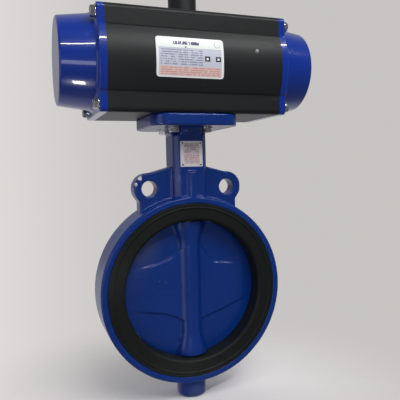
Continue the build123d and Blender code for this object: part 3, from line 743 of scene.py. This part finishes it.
def fastener_tree():
    """Geometry nodes that set one fastener on each point, along an axis, turned at random."""
    tree = bpy.data.node_groups.new("set_fasteners", "GeometryNodeTree")
    sockets = tree.interface
    sockets.new_socket("Geometry", in_out="INPUT", socket_type="NodeSocketGeometry")
    sockets.new_socket("Fastener", in_out="INPUT", socket_type="NodeSocketObject")
    sockets.new_socket("Axis", in_out="INPUT", socket_type="NodeSocketVector")
    sockets.new_socket("Spread of turn", in_out="INPUT", socket_type="NodeSocketFloat")
    sockets.new_socket("Size", in_out="INPUT", socket_type="NodeSocketFloat")
    sockets.new_socket("Seed", in_out="INPUT", socket_type="NodeSocketInt")
    sockets.new_socket("Finish", in_out="INPUT", socket_type="NodeSocketMaterial")
    sockets.new_socket("Geometry", in_out="OUTPUT", socket_type="NodeSocketGeometry")
    nodes, links = tree.nodes, tree.links
    entry = nodes.new("NodeGroupInput")
    leave = nodes.new("NodeGroupOutput")
    shape = nodes.new("GeometryNodeObjectInfo")
    align = nodes.new("FunctionNodeAlignRotationToVector")
    align.axis = "Z"
    turn = nodes.new("FunctionNodeRandomValue")
    angle = nodes.new("FunctionNodeAxisAngleToRotation")
    rotate = nodes.new("FunctionNodeRotateRotation")
    rotate.rotation_space = "LOCAL"
    place = nodes.new("GeometryNodeInstanceOnPoints")
    solid = nodes.new("GeometryNodeRealizeInstances")
    paint = nodes.new("GeometryNodeSetMaterial")
    links.new(entry.outputs["Fastener"], shape.inputs["Object"])
    links.new(entry.outputs["Axis"], align.inputs["Vector"])
    links.new(entry.outputs["Spread of turn"], turn.inputs[3])
    links.new(entry.outputs["Seed"], turn.inputs["Seed"])
    links.new(turn.outputs[1], angle.inputs["Angle"])
    links.new(align.outputs["Rotation"], rotate.inputs["Rotation"])
    links.new(angle.outputs["Rotation"], rotate.inputs["Rotate By"])
    links.new(entry.outputs["Geometry"], place.inputs["Points"])
    links.new(shape.outputs["Geometry"], place.inputs["Instance"])
    links.new(rotate.outputs["Rotation"], place.inputs["Rotation"])
    links.new(entry.outputs["Size"], place.inputs["Scale"])
    links.new(place.outputs["Instances"], solid.inputs["Geometry"])
    links.new(solid.outputs["Geometry"], paint.inputs["Geometry"])
    links.new(entry.outputs["Finish"], paint.inputs["Material"])
    links.new(paint.outputs["Geometry"], leave.inputs["Geometry"])
    return tree


def run_tree(name, tree, mesh, values, material):
    """A geometry-nodes tree run on a mesh, and its result as a plain piece."""
    piece = new_piece(name, mesh, material)
    modifier = piece.modifiers.new("nodes", "NODES")
    modifier.node_group = tree
    keys = {item.name: item.identifier for item in tree.interface.items_tree
            if item.in_out == "INPUT"}
    for label, value in values.items():
        modifier[keys[label]] = value
    return applied(piece)


def set_fasteners(name, tree, shape, places, axis, spread, seed, material):
    """One fastener's mesh on each place, as one piece."""
    pattern = bpy.data.objects.new(name + "_pattern", shape)
    bpy.context.scene.collection.objects.link(pattern)
    values = {"Fastener": pattern, "Axis": axis, "Spread of turn": spread, "Size": 1.0,
              "Seed": seed, "Finish": material}
    piece = run_tree(name, tree, mesh_from(name, places, []), values, material)
    bpy.data.objects.remove(pattern)
    shade_by_angle(piece, EDGE_ANGLE)
    return piece


def corners_of(node, axis, inset):
    """Four places inside a node's box, away from its sides, square to an axis."""
    low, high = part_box(node)
    spans = [(low[i] + inset, high[i] - inset) for i in range(3)]
    free = [i for i in range(3) if i != axis]
    places = []
    for a in spans[free[0]]:
        for b in spans[free[1]]:
            place = [0.0, 0.0, 0.0]
            place[free[0]], place[free[1]] = a, b
            places.append(place)
    return places


def make_bolts(tree, material):
    """Hexagon bolts with washers, on both caps and under the top flange."""
    shape = hex_head_mesh(BOLT_FLATS, BOLT_HEAD, WASHER_RADIUS, WASHER_THICKNESS)
    for side, sign in (("left", -1), ("right", 1)):
        low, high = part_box(side + "_cap_washers")
        places = corners_of(side + "_cap_washers", 0, WASHER_RADIUS)
        for place in places:
            place[0] = high.x if sign < 0 else low.x
        piece = set_fasteners(side + "_cap_hex_bolts", tree, shape.copy(), places,
                              (sign, 0, 0), FREE_TURN, 4 + sign, material)
        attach(piece, "housing")
        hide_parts(side + "_cap_bolts", side + "_cap_washers")
    places = corners_of("flange_washers", 2, WASHER_RADIUS)
    for place in places:
        place[2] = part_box("flange_washers")[1].z
    piece = set_fasteners("flange_hex_bolts", tree, shape, places, (0, 0, -1), FREE_TURN, 9,
                          material)
    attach(piece, "housing")
    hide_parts("flange_bolts", "flange_washers")


RIVET_SPACING = 27 * MM


def make_rivets(tree, material):
    """The four domed rivets of the neck's plate."""
    low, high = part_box("nameplate_rivets")
    radius = (high.x - low.x - RIVET_SPACING) / 2
    places = corners_of("nameplate_rivets", 1, radius)
    for place in places:
        place[1] = high.y
    piece = set_fasteners("domed_rivets", tree, dome_mesh(radius, high.y - low.y), places,
                          (0, -1, 0), FREE_TURN, 2, material)
    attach(piece, "housing")
    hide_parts("nameplate_rivets")


def joined(name, pieces, material):
    """Several pieces of one material made into one."""
    work = bmesh.new()
    for piece in pieces:
        work.from_mesh(piece.data)
        bpy.data.objects.remove(piece)
    mesh = bpy.data.meshes.new(name)
    work.to_mesh(mesh)
    work.free()
    return new_piece(name, mesh, material)


def make_gallery_plugs(tree, material):
    """A small domed plug in the front of the actuator and one in its back."""
    low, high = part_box("gallery_plugs")
    radius = (high.z - low.z) / 2
    height = (high.z + low.z) / 2
    shape = dome_mesh(radius, 1.6 * MM)
    plugs = []
    for place, facing in (((high.x - radius, low.y, height), -1),
                          ((low.x + radius, high.y, height), 1)):
        plugs.append(set_fasteners("plug_%d" % (facing + 1), tree, shape.copy(), [place],
                                   (0, facing, 0), FREE_TURN, 3, material))
    piece = joined("domed_plugs", plugs, material)
    shade_by_angle(piece, EDGE_ANGLE)
    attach(piece, "housing")
    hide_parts("gallery_plugs")


# ---- springs -------------------------------------------------------------------------
SPRING_RADIUS = 10 * MM
SPRING_WIRE = 3 * MM
SPRING_TURNS = 9


def coil_mesh(radius, wire, length, turns):
    """A spring wound up the Z axis from the origin, with its wire's ends closed."""
    per_turn, sides = 28, 8
    points = []
    steps = per_turn * turns
    for i in range(steps + 1):
        turn = 2 * math.pi * i / per_turn
        height = wire / 2 + (length - wire) * i / steps
        for j in range(sides):
            around = 2 * math.pi * j / sides
            reach = radius - wire / 2 + wire / 2 * math.cos(around)
            points.append((reach * math.cos(turn), reach * math.sin(turn),
                           height + wire / 2 * math.sin(around)))
    rows = rows_of(0, sides, steps + 1)
    return outward(mesh_from("coil_spring", points, bridged(rows) + [rows[0], rows[-1]]))


def make_springs(tree, material):
    """Five return springs behind each piston, which in the real actuator are pressed against its
    cap as it moves out; here they keep one length.
    """
    for side, sign in (("left", -1), ("right", 1)):
        low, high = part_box(side + "_springs")
        length = high.x - low.x
        foot = high.x if sign < 0 else low.x
        spread = (high.y - low.y) / 2 - SPRING_RADIUS
        middle = (high.z + low.z) / 2
        places = [(foot, 0, middle)]
        places += [(foot, y, middle + z) for y in (-spread, spread) for z in (-spread, spread)]
        coil = coil_mesh(SPRING_RADIUS, SPRING_WIRE, length, SPRING_TURNS)
        piece = set_fasteners(side + "_coil_springs", tree, coil, places, (sign, 0, 0),
                              FREE_TURN, 12 + sign, material)
        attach(piece, "housing")
        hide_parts(side + "_springs")
        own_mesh(piece)


# ---- finishes on the pieces kept from CAD --------------------------------------------
def dress_nodes(finishes):
    """Give every CAD node the finish of its slot."""
    for part in frame["record"]["subparts"]:
        node = frame["nodes"][part["node"]]
        node.data.materials.clear()
        node.data.materials.append(finishes[part["material_slot"]])
        for polygon in node.data.polygons:
            polygon.material_index = 0


# ---- stage ---------------------------------------------------------------------------
CAMERA_PLACE = (-0.2340, -0.6897, 0.1730)
CAMERA_HEADING = 20.26
CAMERA_TILT = -3.54
CAMERA_ROLL = -1.36
CAMERA_LENS = 44.74


def make_camera():
    """A camera low at the front left, level with the neck."""
    data = bpy.data.cameras.new("camera")
    data.lens = CAMERA_LENS
    data.sensor_width = 36
    camera = bpy.data.objects.new("camera", data)
    heading = Matrix.Rotation(math.radians(-CAMERA_HEADING), 4, "Z")
    tilt = Matrix.Rotation(math.radians(90 + CAMERA_TILT), 4, "X")
    roll = Matrix.Rotation(math.radians(CAMERA_ROLL), 4, "Z")
    camera.matrix_world = Matrix.Translation(CAMERA_PLACE) @ heading @ tilt @ roll
    bpy.context.scene.collection.objects.link(camera)
    bpy.context.scene.camera = camera


def area_light(name, place, target, size, radiance, colour=(1, 1, 1),
               mirrored=True, lighting=True):
    """A soft box, facing a target. It can be left out of reflections or of the lighting."""
    data = bpy.data.lights.new(name, "AREA")
    data.shape = "RECTANGLE"
    data.size, data.size_y = size
    data.energy = radiance * math.pi * size[0] * size[1]
    data.color = colour
    light = bpy.data.objects.new(name, data)
    light.location = place
    light.rotation_euler = (Vector(target) - Vector(place)).to_track_quat("-Z", "Y").to_euler()
    light.visible_camera = False
    light.visible_glossy = mirrored
    light.visible_diffuse = lighting
    bpy.context.scene.collection.objects.link(light)


# The wall's tone at its left and at its right.
ROOM_TONE = (0.77, 0.75, 0.735, 1)
ROOM_SHADE = (0.57, 0.555, 0.54, 1)


def studio_world():
    """A pale room. As a light it is brighter behind the object, most of all low down."""
    world = bpy.data.worlds.new("studio")
    world.use_nodes = True
    shade = Shade(world.node_tree)
    side, depth, height = shade.node("ShaderNodeTexCoord", out="Generated").axes()
    light = depth.step(-0.3, 0.6).blend((0.13, 0.14, 0.15, 1), (0.30, 0.30, 0.32, 1))
    low = depth.step(0.1, 0.5) * (1 - height.step(-0.12, 0.0))
    light = low.blend(light, (0.52, 0.51, 0.54, 1))
    wall = side.step(-0.2, 0.3).blend(ROOM_TONE, ROOM_SHADE)
    seen = shade.node("ShaderNodeLightPath", out="Is Camera Ray")
    background = world.node_tree.nodes["Background"]
    world.node_tree.links.new(seen.blend(light, wall).socket, background.inputs["Color"])
    bpy.context.scene.world = world


FLOOR_REACH = 6.0
FLOOR_GAP = 0.5 * MM


def make_floor():
    """A plain board just under the foot."""
    level = cad_box[0].z - FLOOR_GAP
    corners = [(x * FLOOR_REACH, y * FLOOR_REACH, level)
               for x, y in ((-1, -1), (1, -1), (1, 1), (-1, 1))]
    mesh = mesh_from("floor", corners, [(0, 1, 2, 3)])
    floor = new_piece("floor", mesh, floor_finish(), smooth=False)
    floor.visible_glossy = False


def make_lights():
    """Three broad lights, and lamps that draw the streaks on the caps and the hub."""
    middle = (0, 0, 0.15)
    cap = (-0.16, -0.05, AXIS_HEIGHT)
    area_light("overhead", (0.35, -0.85, 1.55), middle, (1.5, 1.0), 4.2, mirrored=False)
    area_light("fill", (-0.6, -1.7, 0.1), (0, 0, 0.1), (1.2, 0.9), 1.3, mirrored=False)
    area_light("back", (-0.5, 1.5, 1.1), middle, (1.4, 1.0), 2.2, mirrored=False)
    area_light("tube", (0.35, -1.204, 1.283), cap, (1.8, 0.035), 55)
    area_light("near_lamp", (-0.32, -1.42, 0.03), middle, (0.26, 0.22), 2.6)
    area_light("low_lamp", (-0.172, -0.122, 0.158), cap, (0.018, 0.021), 40, lighting=False)
    area_light("side_panel", (-1.3, -0.55, 0.05), middle, (0.7, 1.3), 0.9, (0.93, 0.94, 1))


# ---- the whole -----------------------------------------------------------------------
def main():
    make_camera()
    make_floor()
    studio_world()
    make_lights()
    bpy.context.scene.view_settings.view_transform = "Standard"
    enamel = casting_enamel("casting_enamel")
    finishes = {
        "blue_casting": enamel,
        "blue_cap": cap_enamel(),
        "seat_rubber": seat_rubber(),
        "seal_rubber": seal_rubber(),
        "bearing_plastic": moulded_plastic("bearing_plastic", (0.62, 0.58, 0.45, 1), 0.4),
        "black_anodised": black_anodised(),
        "stainless_fastener": metal("stainless", (0.66, 0.65, 0.62, 1), 0.16),
        "machined_steel": metal("machined_steel", (0.5, 0.5, 0.5, 1), 0.22, (1, 1, 12)),
        "piston_aluminium": metal("piston_aluminium", (0.62, 0.63, 0.64, 1), 0.34),
        "spring_steel": metal("spring_steel", (0.22, 0.26, 0.25, 1), 0.3),
        "plug_brass": metal("plated_plug", (0.55, 0.55, 0.54, 1), 0.25, depth=0.01),
        "label_film": label_print(),
        "nameplate_metal": nameplate_print(),
        "indicator_black": moulded_plastic("indicator_black", (0.012, 0.012, 0.013, 1), 0.38),
        "indicator_yellow": moulded_plastic("indicator_yellow", (0.75, 0.5, 0.02, 1), 0.35),
    }
    dress_nodes(finishes)
    make_valve_body(enamel)
    make_disc(casting_enamel("disc_enamel", marked=True))
    make_seat(finishes["seat_rubber"])
    tree = fastener_tree()
    make_bolts(tree, finishes["stainless_fastener"])
    make_rivets(tree, finishes["stainless_fastener"])
    make_gallery_plugs(tree, finishes["plug_brass"])
    make_springs(tree, finishes["spring_steel"])


main()
